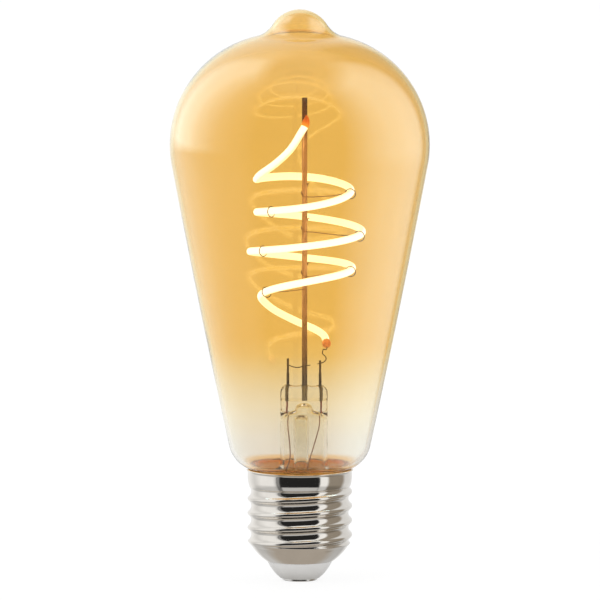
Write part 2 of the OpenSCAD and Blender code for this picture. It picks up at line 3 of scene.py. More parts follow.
import bmesh
import bpy
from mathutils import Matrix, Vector


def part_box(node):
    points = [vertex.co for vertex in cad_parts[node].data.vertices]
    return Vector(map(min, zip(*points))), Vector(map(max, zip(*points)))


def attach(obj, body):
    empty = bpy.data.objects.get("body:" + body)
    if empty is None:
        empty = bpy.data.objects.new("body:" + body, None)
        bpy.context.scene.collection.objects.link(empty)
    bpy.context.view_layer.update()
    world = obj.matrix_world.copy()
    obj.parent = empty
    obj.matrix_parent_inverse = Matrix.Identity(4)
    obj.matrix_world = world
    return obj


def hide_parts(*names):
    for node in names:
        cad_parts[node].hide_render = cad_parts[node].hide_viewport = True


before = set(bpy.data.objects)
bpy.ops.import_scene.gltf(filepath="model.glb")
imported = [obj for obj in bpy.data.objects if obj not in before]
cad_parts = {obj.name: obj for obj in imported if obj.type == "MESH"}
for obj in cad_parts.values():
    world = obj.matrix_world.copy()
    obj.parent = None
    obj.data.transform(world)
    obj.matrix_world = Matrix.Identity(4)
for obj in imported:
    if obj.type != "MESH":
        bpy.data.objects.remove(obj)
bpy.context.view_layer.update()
scene = bpy.context.scene

# The lamp's lengths are millimetres here and its meshes are made in metres. The studio's lengths are metres.
MM = 0.001


def box_mm(node):
    """A CAD node's lowest and highest corners, in millimetres."""
    low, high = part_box(node)
    return low / MM, high / MM


def x_span(node):
    """The middle of a CAD node in x and half its width."""
    low, high = box_mm(node)
    return (low.x + high.x) / 2, (high.x - low.x) / 2


def z_span(node):
    low, high = box_mm(node)
    return low.z, high.z


# Driving dimensions that the frame gives.
NECK_Z, PIP_TOP = z_span("glass_envelope")
MAST_X, MAST_R = x_span("support_mast")
MAST_FOOT, MAST_TOP = z_span("support_mast")
STEM_X, STEM_R = x_span("stem_press")
PRESS_Z, PRESS_TOP = z_span("stem_press")
LEADS = ("inner_lead_left", "inner_lead_right")
LEAD_X = [x_span(node)[0] for node in LEADS]
LIP_RISE = 0.05
RIM_Z = z_span("screw_shell")[1] - LIP_RISE
INSULATOR_FOOT, INSULATOR_TOP = z_span("cap_insulator")

# Heights in the glass's tint run from the neck's edge up to here.
AMBER_FULL_Z = 110

# The bulb's outline, as circles joined by a slightly bowed cone.
NECK_R = 12.0
GLASS_WALL = 0.9
DOME_R = 27.8
DOME_AT = (4.7, 109.5)
CONE_ANGLE = 11.5
CONE_BOW = 0.25
SHOULDER_R = 8.0
SHOULDER_AT = (9.9, 35.6)
PIP_R = 8.0
PIP_BLEND = 7.0

# The filament's stations: angle round the mast in degrees, distance from the mast, height.
FILAMENT_R = 0.9
FILAMENT = [
    (270, 1.8, 114.2), (240, 2.6, 112), (222, 5, 108.4), (208, 8.4, 105), (194, 11.2, 102.4),
    (180, 12, 100.9), (90, 12, 100.3), (0, 11.6, 98), (-90, 11.6, 95), (-180, 11.9, 92.7),
    (-270, 12.5, 90.3), (-360, 14.4, 87.8), (-450, 13.2, 85.4), (-540, 13.6, 82.8),
    (-630, 12.6, 79.9), (-720, 11.9, 78.6), (-810, 11.6, 76.3), (-900, 10.9, 71.3),
    (-945, 9.7, 66.9), (-975, 8.4, 64.4), (-1010, 7.8, 62.4), (-1034, 7.1, 61), (-1046, 6.5, 59.8),
]
SUPPORT_R = 0.11
LEAD_THIN_R = 0.28
RING_GAP = 0.27
RING_DROP = 0.22
# Where each support grips the filament (an angle) and meets the mast (a height).
SUPPORTS_RIGHT = [(-10, 96.7), (-378, 87.9), (-735, 76.8)]
SUPPORTS_LEFT = [(-135, 93.9), (-500, 84.3), (-867, 73.3)]

# Screw cap.
SHEET = 0.3
CREST_R = 13.1
COLLAR_R = 13.05
THREAD_DEPTH = 0.9
THREAD_PITCH = 3.629
THREAD_TOP = 24.2
THREAD_FOOT = 8.9
FADE_H = 0.9
CREST_Z = 18.74
WAIST_Z = 23.6
WAIST_R = 12.6
FOOT_EDGE_R = 12.3


# ---------------------------------------------------------------- mesh helpers

def arc(centre, radius, start, end, steps):
    """Points (across, up) on a circle from one angle to another, in degrees."""
    turns = [math.radians(start + (end - start) * i / steps) for i in range(steps + 1)]
    return [(centre[0] + radius * math.cos(a), centre[1] + radius * math.sin(a)) for a in turns]


def circle(steps):
    """Angles of points spaced evenly round a circle."""
    return [2 * math.pi * j / steps for j in range(steps)]


def curve_through(points, per_span):
    """A smooth curve through points of any dimension: a centripetal Catmull-Rom spline."""
    pts = [Vector(p) for p in points]
    pts = [2 * pts[0] - pts[1]] + pts + [2 * pts[-1] - pts[-2]]
    out = []
    for a, b, c, d in zip(pts, pts[1:], pts[2:], pts[3:]):
        ta = 0.0
        tb = ta + max((b - a).length, 1e-6) ** 0.5
        tc = tb + max((c - b).length, 1e-6) ** 0.5
        td = tc + max((d - c).length, 1e-6) ** 0.5
        for i in range(per_span):
            t = tb + (tc - tb) * i / per_span
            ab = a * ((tb - t) / (tb - ta)) + b * ((t - ta) / (tb - ta))
            bc = b * ((tc - t) / (tc - tb)) + c * ((t - tb) / (tc - tb))
            cd = c * ((td - t) / (td - tc)) + d * ((t - tc) / (td - tc))
            abc = ab * ((tc - t) / (tc - ta)) + bc * ((t - ta) / (tc - ta))
            bcd = bc * ((td - t) / (td - tb)) + cd * ((t - tb) / (td - tb))
            out.append(abc * ((tc - t) / (tc - tb)) + bcd * ((t - tb) / (tc - tb)))
    return out + [pts[-2]]


def smoothed(points, per_span):
    return [tuple(p) for p in curve_through(points, per_span)]


def add_object(name, data):
    obj = bpy.data.objects.new(name, data)
    scene.collection.objects.link(obj)
    return obj


def hide_from(obj, *rays):
    for ray in rays:
        setattr(obj, "visible_" + ray, False)


def make_piece(name, points, faces, material, sharp=None, nodes=None):
    """A mesh object from points in millimetres, standing for the CAD node of its name unless told others."""
    mesh = bpy.data.meshes.new(name)
    mesh.from_pydata([Vector(p) * MM for p in points], [], faces)
    work = bmesh.new()
    work.from_mesh(mesh)
    bmesh.ops.recalc_face_normals(work, faces=work.faces)
    work.to_mesh(mesh)
    work.free()
    for polygon in mesh.polygons:
        polygon.use_smooth = True
    if sharp:
        mesh.set_sharp_from_angle(angle=math.radians(sharp))
    mesh.materials.append(material)
    piece = add_object(name, mesh)
    nodes = nodes or [name]
    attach(piece, "root")
    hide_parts(*nodes)
    return piece


def strip_faces(a, b, n):
    """Quads between two rings of n points that start at indices a and b."""
    return [(a + j, a + (j + 1) % n, b + (j + 1) % n, b + j) for j in range(n)]


def ring_solid(rings, closed=False):
    """Points and faces of a solid from rings. A ring of one point is a pole; open ends are filled flat."""
    points, starts = [], []
    for ring in rings:
        starts.append(len(points))
        points.extend(ring)
    faces = []
    order = list(range(len(rings)))
    for i, k in zip(order, order[1:] + (order[:1] if closed else [])):
        a, b = starts[i], starts[k]
        n, m = len(rings[i]), len(rings[k])
        if n == 1 and m > 1:
            faces += [(a, b + j, b + (j + 1) % m) for j in range(m)]
        elif m == 1 and n > 1:
            faces += [(a + j, b, a + (j + 1) % n) for j in range(n)]
        elif n > 1:
            faces += strip_faces(a, b, n)
    if not closed:
        for i in (0, len(rings) - 1):
            if len(rings[i]) > 1:
                faces.append(tuple(starts[i] + j for j in range(len(rings[i]))))
    return points, faces


def turned(outline, steps, at=(0, 0), closed=False):
    """Rings of an outline of (radius, height) turned round an upright axis."""
    rings = []
    for r, z in outline:
        if r < 1e-4:
            rings.append([(at[0], at[1], z)])
            continue
        rings.append([(at[0] + r * math.cos(a), at[1] + r * math.sin(a), z) for a in circle(steps)])
    return ring_solid(rings, closed)


def tube(points, radii, sides=10):
    """Rings of a round wire along points, with a rounded nose at each end."""
    pts = [Vector(p) for p in points]
    tangents = [(pts[min(i + 1, len(pts) - 1)] - pts[max(i - 1, 0)]).normalized() for i in range(len(pts))]
    first = Vector((0, 0, 1)) if abs(tangents[0].z) < 0.8 else Vector((1, 0, 0))
    side = (first - first.dot(tangents[0]) * tangents[0]).normalized()
    rings = []
    for i, (p, t) in enumerate(zip(pts, tangents)):
        side = (side - side.dot(t) * t).normalized()
        up = t.cross(side)
        rings.append([p + radii[i] * (math.cos(a) * side + math.sin(a) * up) for a in circle(sides)])
        if i in (0, len(pts) - 1):
            out = -t if i == 0 else t
            r = radii[i]
            nose = [p + out * 0.3 * r + 0.75 * (q - p) for q in rings[-1]]
            pole = [p + out * 0.42 * r]
            rings = [pole, nose] + rings if i == 0 else rings + [nose, pole]
    return ring_solid(rings)


# ---------------------------------------------------------------- material helpers

class Nodes:
    """A material's node tree, with short ways to add to it."""

    def __init__(self, name, empty=False):
        self.material = bpy.data.materials.new(name)
        self.material.use_nodes = True
        self.tree = self.material.node_tree
        if empty:
            self.tree.nodes.clear()
        self.place = self.add("TexCoord").outputs["Object"]

    def feed(self, node, socket, source):
        """Link an output to a socket, or set the socket to a constant."""
        if hasattr(source, "is_linked"):
            self.tree.links.new(source, node.inputs[socket])
        else:
            node.inputs[socket].default_value = source

    def add(self, kind, links=(), **settings):
        node = self.tree.nodes.new("ShaderNode" + kind)
        for key, value in settings.items():
            setattr(node, key, value)
        for socket, source in dict(links).items():
            self.feed(node, socket, source)
        return node

    def ramp(self, factor, stops, ease="LINEAR"):
        node = self.add("ValToRGB", {"Fac": factor})
        node.color_ramp.interpolation = ease
        elements = node.color_ramp.elements
        while len(elements) < len(stops):
            elements.new(1.0)
        for element, (at, colour) in zip(elements, stops):
            element.position = at
            grey = isinstance(colour, (int, float))
            element.color = (colour, colour, colour, 1) if grey else (*colour, 1)
        return node.outputs["Color"]

    def mix(self, factor, a, b, how="MIX"):
        """Colour b over colour a."""
        node = self.add("Mix", {0: factor}, data_type="RGBA", blend_type=how)
        for socket, colour in ((6, a), (7, b)):
            self.feed(node, socket, colour if hasattr(colour, "is_linked") else (*colour, 1))
        return node.outputs[2]

    def times(self, a, b):
        return self.mix(1.0, a, b, "MULTIPLY")

    def span(self, value, low, high):
        """0 where a length is low and 1 where it is high, in millimetres."""
        links = {"Value": value, "From Min": low * MM, "From Max": high * MM}
        return self.add("MapRange", links).outputs["Result"]


class Paint(Nodes):
    """A node material: a Principled shader with constant sockets, and nodes that drive some of them."""

    def __init__(self, name, **sockets):
        super().__init__(name)
        self.shader = self.tree.nodes["Principled BSDF"]
        for socket, value in sockets.items():
            self.shader.inputs[socket.replace("_", " ")].default_value = value

    def drive(self, socket, source):
        self.tree.links.new(source, self.shader.inputs[socket])

    def noise(self, size, detail=3.0, roughness=0.5, stretch=(1, 1, 1)):
        """Noise with features of a size in millimetres, drawn out along an axis by stretch."""
        scale = [1 / s for s in stretch]
        mapping = self.add("Mapping", {"Vector": self.place, "Scale": scale})
        links = {"Vector": mapping.outputs[0], "Scale": 1 / (size * MM)}
        return self.add("TexNoise", {**links, "Detail": detail, "Roughness": roughness}).outputs["Fac"]

    def height(self, low, high):
        """0 at one height of the object and 1 at another, in millimetres."""
        return self.span(self.add("SeparateXYZ", {"Vector": self.place}).outputs["Z"], low, high)

    def distance(self, point, place=None):
        links = {0: self.place if place is None else place, 1: [c * MM for c in point]}
        return self.add("VectorMath", links, operation="DISTANCE").outputs["Value"]

    def out_from(self, x, low, high):
        """0 at one distance from the upright line at x and 1 at another, in millimetres."""
        level = self.add("VectorMath", {0: self.place, 1: (1, 1, 0)}, operation="MULTIPLY").outputs[0]
        return self.span(self.distance((x, 0, 0), level), low, high)

    def bump(self, height, depth, strength=1.0):
        """Relief of a depth in millimetres."""
        links = {"Height": height, "Distance": depth * MM, "Strength": strength}
        self.drive("Normal", self.add("Bump", links).outputs["Normal"])


def glass_tint(paint, stops, low, high, unevenness):
    tint = paint.ramp(paint.height(low, high), stops)
    cloud = paint.ramp(paint.noise(14, 2), [(0.3, 1 - unevenness), (0.7, 1.0)])
    paint.drive("Base Color", paint.times(tint, cloud))


def amber_glass():
    """Blown glass whose amber coat thins out towards the cap, with the cement's orange in its lowest ring."""
    paint = Paint("amber_glass", Roughness=0.0, IOR=1.5, Transmission_Weight=1.0)
    clear = (0.872, 0.828, 0.752)
    orange = (0.89, 0.53, 0.2)
    amber = (0.912, 0.68, 0.288)
    stops = [
        (0.0, clear), (0.042, clear), (0.048, orange), (0.06, orange), (0.069, clear), (0.12, clear),
        (0.21, (0.912, 0.836, 0.682)), (0.3, (0.908, 0.782, 0.544)), (0.41, amber), (1.0, amber),
    ]
    glass_tint(paint, stops, NECK_Z, AMBER_FULL_Z, 0.02)
    paint.bump(paint.noise(22, 1), 0.05)
    return paint.material


def stem_glass():
    """Clear drawn glass with a faint warm cast and the ripples of the pinching jaws."""
    paint = Paint("stem_glass", Roughness=0.0, IOR=1.5, Transmission_Weight=1.0)
    stops = [(0.0, (0.955, 0.945, 0.915)), (1.0, (0.96, 0.945, 0.88))]
    glass_tint(paint, stops, NECK_Z, PRESS_TOP, 0.03)
    paint.bump(paint.noise(3.5, 2), 0.05)
    return paint.material


def wire_metal(name, stops, low, high, roughness=0.35, metallic=0.85, grain=0.4):
    """Drawn wire: colour by height, fine streaks along it and patches of oxide."""
    paint = Paint(name, Metallic=metallic)
    base = paint.ramp(paint.height(low, high), stops)
    patches = paint.ramp(paint.noise(grain * 4, 4, 0.6, (1, 1, 4)), [(0.35, 0.72), (0.65, 1.0)])
    paint.drive("Base Color", paint.times(base, patches))
    streaks = paint.noise(grain, 3, 0.6, (1, 1, 8))
    paint.drive("Roughness", paint.ramp(streaks, [(0.3, roughness * 0.7), (0.7, roughness * 1.5)]))
    paint.bump(streaks, 0.02, 0.5)
    return paint.material


def support_wire():
    """Fine wire: rosy near the mast, and darker further out, where its ring hangs on the cord."""
    paint = Paint("support_metal", Metallic=0.5)
    far = paint.out_from(MAST_X, 7, 11)
    streaks = paint.noise(0.4, 3, 0.6)
    base = paint.ramp(far, [(0.0, (0.52, 0.30, 0.22)), (1.0, (0.10, 0.06, 0.045))])
    paint.drive("Base Color", paint.times(base, paint.ramp(streaks, [(0.35, 0.75), (0.65, 1.0)])))
    paint.drive("Roughness", paint.ramp(streaks, [(0.3, 0.3), (0.7, 0.55)]))
    paint.bump(streaks, 0.02, 0.5)
    return paint.material


def silicone_glow():
    """Lit silicone: white-hot on the outer side, where the chips face, and yellow on the side of the mast."""
    paint = Paint("silicone_glow", Roughness=0.45, Emission_Strength=1.0, IOR=1.41)
    side = paint.add("Attribute", attribute_name="outward").outputs["Fac"]
    grain = paint.noise(0.5, 2)
    uneven = paint.add("MapRange", {"Value": grain, "To Min": -0.06, "To Max": 0.06}).outputs["Result"]
    facing = paint.add("Math", {0: side, 1: uneven}, operation="ADD").outputs[0]
    stops = [
        (0.0, (1.5, 1.6, 1.85)), (0.4, (1.45, 1.5, 1.8)), (0.55, (1.3, 1.35, 1.75)), (0.8, (1.8, 2.0, 3.1)),
        (1.0, (1.9, 2.1, 3.4)),
    ]
    paint.drive("Emission Color", paint.ramp(facing, stops, "EASE"))
    paint.drive("Base Color", paint.ramp(grain, [(0.3, (0.9, 0.78, 0.42)), (0.7, (0.95, 0.86, 0.55))]))
    paint.bump(paint.noise(0.9, 3), 0.02)
    return paint.material


def bead_silicone(name, hot, cool, end, glow):
    """Clear orange silicone with a painted glow: emission and a yellower colour near the end that joins the cord stand
    in for the cord's light.
    """
    paint = Paint(name, Roughness=0.3, Subsurface_Weight=0.4, Subsurface_Scale=0.4 * MM)
    near = paint.span(paint.distance(end), 0.0, 2.6)
    # Painted glow in the base colour: hotter and yellower near the cord's end.
    colour = paint.ramp(near, [(0.0, hot), (0.5, cool), (1.0, cool)])
    cloud = paint.ramp(paint.noise(0.6, 3), [(0.35, 0.75), (0.65, 1.0)])
    paint.drive("Base Color", paint.times(colour, cloud))
    # Painted glow: emission that fades with distance from the cord's end.
    fading = ((0.0, hot, 1.0), (0.3, hot, 0.75), (0.6, cool, 0.5), (1.0, cool, 0.3))
    light = paint.ramp(near, [(at, [c * share for c in tone]) for at, tone, share in fading])
    paint.drive("Emission Color", paint.times(light, cloud))
    paint.shader.inputs["Emission Strength"].default_value = glow
    paint.bump(paint.noise(0.5, 2), 0.03)
    return paint.material


def cap_nickel():
    """Bright nickel plate with faint handling haze and fine rolling lines round the cap."""
    paint = Paint("cap_nickel", Metallic=1.0)
    haze = paint.noise(5, 4, 0.6)
    paint.drive("Base Color", paint.ramp(haze, [(0.3, (0.80, 0.765, 0.71)), (0.7, (0.87, 0.835, 0.78))]))
    lines = paint.noise(0.5, 4, 0.65, (8, 8, 1))
    shine = paint.ramp(haze, [(0.35, 0.05), (0.7, 0.13)])
    paint.drive("Roughness", paint.mix(0.25, shine, paint.ramp(lines, [(0.3, 0.03), (0.7, 0.22)])))
    paint.bump(lines, 0.004)
    return paint.material


def insulator_white():
    """Smooth white moulding, slightly glossy, with painted shade that darkens it towards the bottom."""
    paint = Paint("insulator_white", Roughness=0.3, IOR=1.5)
    # Painted shade: the colour darkens towards the bottom of the moulding.
    stops = [(0.0, (0.41, 0.40, 0.38)), (0.5, (0.57, 0.56, 0.54)), (1.0, (0.68, 0.67, 0.655))]
    cloud = paint.ramp(paint.noise(3, 4), [(0.3, 0.94), (0.7, 1.0)])
    paint.drive("Base Color", paint.times(paint.ramp(paint.height(0.5, 4.9), stops), cloud))
    paint.bump(paint.noise(0.8, 3), 0.01)
    return paint.material


def cement_amber():
    """Cured cement: orange-brown, a little translucent, with grains and pits, and a painted glow where it lies on the
    neck.
    """
    paint = Paint("cement_amber", Roughness=0.42, Subsurface_Weight=0.3, Subsurface_Scale=0.8 * MM)
    grains = paint.noise(0.5, 5, 0.6)
    cloud = paint.noise(4, 3)
    stops = [(0.3, (0.62, 0.26, 0.06)), (0.6, (0.80, 0.38, 0.11)), (0.8, (0.90, 0.52, 0.2))]
    shade = paint.ramp(cloud, [(0.35, 0.8), (0.65, 1.0)])
    paint.drive("Base Color", paint.times(paint.ramp(grains, stops), shade))
    # Painted glow: emission stands in for the filament's light on the side that lies on the neck, seen through the
    # glass.
    stops = [(0.3, (0.40, 0.135, 0.0)), (0.6, (0.52, 0.195, 0.0)), (0.8, (0.62, 0.27, 0.03))]
    reach = paint.out_from(0, NECK_R + 0.2, NECK_R + 0.6)
    lit = paint.ramp(grains, stops)
    paint.drive("Emission Color", paint.mix(reach, lit, (0.0, 0.0, 0.0)))
    paint.shader.inputs["Emission Strength"].default_value = 1.0
    paint.bump(grains, 0.08)
    return paint.material


def plain_part(name, dark, light, roughness, metallic=0.0, size=1.0, depth=0.01):
    """A small inner part: colour and gloss that vary a little over its surface."""
    paint = Paint(name, Metallic=metallic)
    mottle = paint.noise(size, 4, 0.55)
    paint.drive("Base Color", paint.ramp(mottle, [(0.3, dark), (0.7, light)]))
    paint.drive("Roughness", paint.ramp(mottle, [(0.3, roughness * 0.8), (0.7, min(1.0, roughness * 1.25))]))
    paint.bump(paint.noise(size * 0.3, 3), depth)
    return paint.material


# ---------------------------------------------------------------- bulb glass

def crossing(a, ra, b, rb):
    """The point right of the axis where a circle round a meets a circle round b."""
    a, b = Vector(a), Vector(b)
    d = (b - a).length
    u = (b - a) / d
    along = (ra * ra - rb * rb + d * d) / (2 * d)
    out = math.sqrt(ra * ra - along * along)
    return Vector((a.x + u.x * along - u.y * out, a.y + u.y * along + u.x * out))


def glass_side(wall, tip, tip_z, blend):
    """The glass's outline from the top of the pip down to where the neck starts."""
    pip_at = Vector((0, tip_z - tip))
    dome_at = Vector(DOME_AT)
    r = DOME_R - wall
    blend_at = crossing(pip_at, tip + blend, dome_at, r + blend)
    leave = math.degrees(math.atan2(blend_at.y - pip_at.y, blend_at.x))
    meet = blend_at - dome_at
    join = math.degrees(math.atan2(meet.y, meet.x))
    s = SHOULDER_R - wall
    square = Vector((math.cos(math.radians(CONE_ANGLE)), -math.sin(math.radians(CONE_ANGLE))))
    top = dome_at + r * square
    foot = Vector(SHOULDER_AT) + s * square
    spans = [i / 24 for i in range(1, 24)]
    cone = [top + t * (foot - top) + Vector((4 * CONE_BOW * t * (1 - t), 0)) for t in spans]
    neck = -math.degrees(math.acos((NECK_R - wall - SHOULDER_AT[0]) / s))
    return (
        arc(pip_at, tip, 90, leave, 18) + arc(blend_at, blend, leave + 180, join + 180, 10)
        + arc(dome_at, r, join, -CONE_ANGLE, 56) + [tuple(p) for p in cone]
        + arc(SHOULDER_AT, s, -CONE_ANGLE, neck, 18)
    )


def tidy(outline):
    """The outline without points that repeat."""
    out = [outline[0]]
    for p in outline[1:]:
        if (Vector(p) - Vector(out[-1])).length > 1e-3:
            out.append(p)
    return out


def make_glass(material):
    outside = glass_side(0, PIP_R, PIP_TOP, PIP_BLEND)
    inside = glass_side(GLASS_WALL, PIP_R - GLASS_WALL, PIP_TOP - GLASS_WALL, PIP_BLEND + GLASS_WALL)
    lip = arc((NECK_R - GLASS_WALL / 2, NECK_Z + GLASS_WALL / 2), GLASS_WALL / 2, 0, -180, 8)
    outline = tidy(outside + lip + inside[::-1])
    points, faces = turned(outline, 160)
    return make_piece("glass_envelope", points, faces, material)


# ---------------------------------------------------------------- stem

# Flare rows: height above the neck's edge, share of the stem's offset, share of the flare's reach.
FLARE = [
    (0, 0, 1), (0.9, 0, 1), (1.6, 0.25, 0.75), (2.6, 0.7, 0.3), (3.6, 0.92, 0.1), (4.8, 0.99, 0.02), (7.4, 1, 0),
]
STEM_WALL = 1.0
FLARE_RIM = NECK_R - GLASS_WALL - 0.02
# Rows of the pinched part: height above the press's foot, half width, half depth, squareness.
PINCH = [
    (-3.2, 5.95, 5.95, 2.0), (-2.3, 5.95, 5.5, 2.05), (-1.4, 5.95, 4.75, 2.15), (-0.6, 5.95, 3.7, 2.35),
    (0.1, 5.93, 2.95, 2.6), (0.9, 5.9, 2.62, 2.8), (2.2, 5.9, 2.5, 2.9), (3.4, 5.92, 2.5, 2.9),
    (3.9, 5.95, 2.68, 2.9), (4.7, 5.95, 2.7, 2.9), (5.7, 5.9, 2.62, 2.8), (6.4, 5.66, 2.42, 2.7),
    (6.8, 5.3, 2.1, 2.6), (7.0, 4.8, 1.7, 2.5), (7.06, 3.9, 1.25, 2.4), (7.06, 2.6, 0.8, 2.2), (7.06, 1.2, 0.4, 2.0),
]
# The same for the hollow under it, up to its round end.
HOLLOW = [
    (-3.2, 4.95, 4.95, 2.0), (-2.0, 4.95, 4.2, 2.1), (-1.1, 4.85, 3.2, 2.2), (-0.4, 4.5, 2.4, 2.2),
    (0.1, 3.9, 2.0, 2.1), (0.5, 3.1, 1.8, 2.0), (0.85, 2.45, 1.7, 2.0), (1.4, 2.2, 1.6, 2.0), (2.0, 1.9, 1.35, 2.0),
    (2.5, 1.2, 0.85, 2.0), (2.7, 0.5, 0.4, 2.0),
]


def superellipse(x, half_x, half_y, power, steps):
    ring = []
    for a in circle(steps):
        c, s = math.cos(a), math.sin(a)
        across = math.copysign(abs(c) ** (2 / power), c)
        deep = math.copysign(abs(s) ** (2 / power), s)
        ring.append((x + half_x * across, half_y * deep))
    return ring


def creep(x, y):
    """How far the press's top rises where the glass climbs the mast and the leads, and dips between them."""
    rise = 0.12 * math.cos(2 * math.pi * (x - STEM_X) / 4.4) - 0.05 * (x - STEM_X) / 4
    for centre, width in ((MAST_X, 1.1), (LEAD_X[0], 0.75), (LEAD_X[1], 0.75)):
        rise += 0.28 * math.exp(-((x - centre) ** 2 + y * y) / width ** 2)
    return rise


def make_stem(material):
    steps = 96
    outer = [(NECK_Z + f[0], STEM_X * f[1], STEM_R + (FLARE_RIM - STEM_R) * f[2]) for f in FLARE]
    inner = [(z, x, r - STEM_WALL) for z, x, r in outer]
    rings = []
    for z, x, r in smoothed(outer, 4):
        rings.append([(px, py, z) for px, py in superellipse(x, r, r, 2.0, steps)])
    for z, half_x, half_y, power in smoothed(PINCH, 3):
        top = max(0.0, min(1.0, (z - 5.6) / 0.9))
        flat = superellipse(STEM_X, half_x, half_y, power, steps)
        rings.append([(px, py, PRESS_Z + z + top * creep(px, py)) for px, py in flat])
    pole_z = PRESS_Z + PINCH[-1][0] + creep(STEM_X, 0)
    rings.append([(STEM_X, 0, pole_z)])
    hollow = [[(STEM_X, 0, PRESS_Z + HOLLOW[-1][0] + 0.05)]]
    for z, half_x, half_y, power in smoothed(HOLLOW, 3)[::-1]:
        flat = superellipse(STEM_X, half_x, half_y, power, steps)
        hollow.append([(px, py, PRESS_Z + z) for px, py in flat])
    for z, x, r in smoothed(inner, 4)[::-1]:
        hollow.append([(px, py, z) for px, py in superellipse(x, r, r, 2.0, steps)])
    # Up the outside to the top pole, and from the hollow's pole down the inside to the flare's rim.
    points, faces = ring_solid(rings + hollow)
    pole = sum(len(ring) for ring in rings) - 1
    faces = [f for f in faces if len(f) <= 4 and not (pole in f and pole + 1 in f)]
    faces += strip_faces(len(points) - steps, 0, steps)
    return make_piece("stem_glass", points, faces, material, nodes=["stem_flare", "stem_press"])


def make_exhaust(material):
    x, r = x_span("exhaust_tube")
    bore = r - 0.5
    tip = z_span("exhaust_tube")[0] + r
    top = PRESS_Z - 0.4
    bore_tip = tip + 0.6
    outline = arc((0, tip), r, -90, 0, 12) + [
        (r, top - 3), (r + 0.02, top - 1), (r - 0.1, top - 0.4), (r - 0.35, top - 0.1), (r - 0.7, top), (0, top + 0.05),
    ]
    hollow = [
        (0, top - 0.7), (0.6, top - 0.75), (bore - 0.2, top - 1.0), (bore, top - 1.6), (bore, bore_tip),
    ] + arc((0, bore_tip), bore, 0, -90, 12)
    points, outer_faces = turned(tidy(outline), 64, (x, 0))
    inner_points, inner_faces = turned(tidy(hollow), 64, (x, 0))
    faces = outer_faces + [tuple(i + len(points) for i in f[::-1]) for f in inner_faces]
    points += inner_points
    piece = make_piece("exhaust_tube", points, faces, material)
    # The bore is a closed bubble in the glass, so its faces look inwards.
    mesh = piece.data
    work = bmesh.new()
    work.from_mesh(mesh)
    work.faces.ensure_lookup_table()
    centre = Vector((x * MM, 0, 0))
    for face in work.faces[len(outer_faces):]:
        out = face.calc_center_median() - centre
        out.z = 0
        if face.normal.dot(out) > 0:
            face.normal_flip()
    work.to_mesh(mesh)
    work.free()
    return piece


# ---------------------------------------------------------------- mast, leads and wires

def make_mast(material):
    rounding = 0.15
    rounded = arc((MAST_R - rounding, MAST_TOP - rounding), rounding, 0, 90, 4)
    outline = [(0, MAST_FOOT), (MAST_R, MAST_FOOT), (MAST_R, MAST_TOP - 0.25)] + rounded + [(0, MAST_TOP)]
    points, faces = turned(tidy(outline), 32, (MAST_X, 0))
    return make_piece("support_mast", points, faces, material, 40)


def make_tab(material):
    """The flat terminal strip, pressed to the mast with three weld dimples and a cut top corner."""
    low, high = box_mm("filament_tab")
    front = low.y
    half = (high.x - low.x) / 2
    rows = 40
    rings = []
    for i in range(rows + 1):
        t = i / rows
        z = low.z + (high.z - low.z) * t
        dent = sum(0.07 * math.exp(-((t - w) / 0.05) ** 2) for w in (0.2, 0.5, 0.8))
        width = half * (1 - 0.12 * max(0, t - 0.9) / 0.1)
        face = [(-1, 0.16), (-0.8, 0.03), (-0.4, dent), (0, 1.3 * dent), (0.4, dent), (0.8, 0.03), (1, 0.16)]
        back = [(1, 0.26), (0.5, 0.3), (0, 0.32), (-0.5, 0.3), (-1, 0.26)]
        rings.append([(MAST_X + width * u, front + d, z) for u, d in face + back])
    points, faces = ring_solid(rings)
    return make_piece("filament_tab", points, faces, material, 50)


def make_lead(side, material):
    """A lead in the press: a thick foot, a step and a thin top with a cut end."""
    node = LEADS[side]
    x, foot_r = x_span(node)
    low, high = z_span(node)
    thin_r = LEAD_THIN_R
    step = PRESS_TOP + 2.9
    outline = [
        (0, low), (foot_r - 0.05, low), (foot_r, low + 0.1), (foot_r, step - 0.1), (foot_r - 0.03, step),
        (thin_r, step + 0.3), (thin_r, high - 0.08), (thin_r - 0.05, high), (0, high - 0.03),
    ]
    points, faces = turned(outline, 24, (x, 0))
    return make_piece(node, points, faces, material, 40)


def make_wire(name, route, r, material, smooth=6, sides=12):
    path = curve_through(route, smooth) if smooth else [Vector(p) for p in route]
    points, faces = tube(path, [r] * len(path), sides)
    return make_piece(name, points, faces, material)


DUMET_R = 0.2


def make_dumet(side, material):
    node = ("dumet_left", "dumet_right")[side]
    low, high = z_span(node)
    x = LEAD_X[side]
    route = [(x, 0, low), (x - 0.03, 0.02, low + 1.1), (x + 0.03, -0.02, low + 2.2), (x, 0, high)]
    return make_wire(node, route, DUMET_R, material)


OUTER_R = 0.14
OUTER_LEFT = [
    (-3, -0.1, 41.95), (-2.95, -1, 39.4), (-2.55, -1.9, 36.2), (-2.3, -2.4, 33.5), (-2.3, -2.6, 30.8),
    (-3.1, -2.4, 27.4), (-4.6, -1.4, 22), (-6.8, 0.8, 16.5), (-7, 1, 13.05),
]
OUTER_RIGHT = [
    (5.1, -0.1, 41.95), (4.9, -0.8, 39.4), (4, -1.9, 36.2), (3.2, -2.5, 33.5), (2.4, -2.7, 30.4),
    (1.95, -2.7, 27.5), (3.3, -2, 22), (6.6, 0.6, 16.5), (7, 1, 13.05),
]


# ---------------------------------------------------------------- filament

def slope(i, k):
    a, b = FILAMENT[max(i - 1, 0)], FILAMENT[min(i + 1, len(FILAMENT) - 1)]
    return (b[k] - a[k]) / (b[0] - a[0])


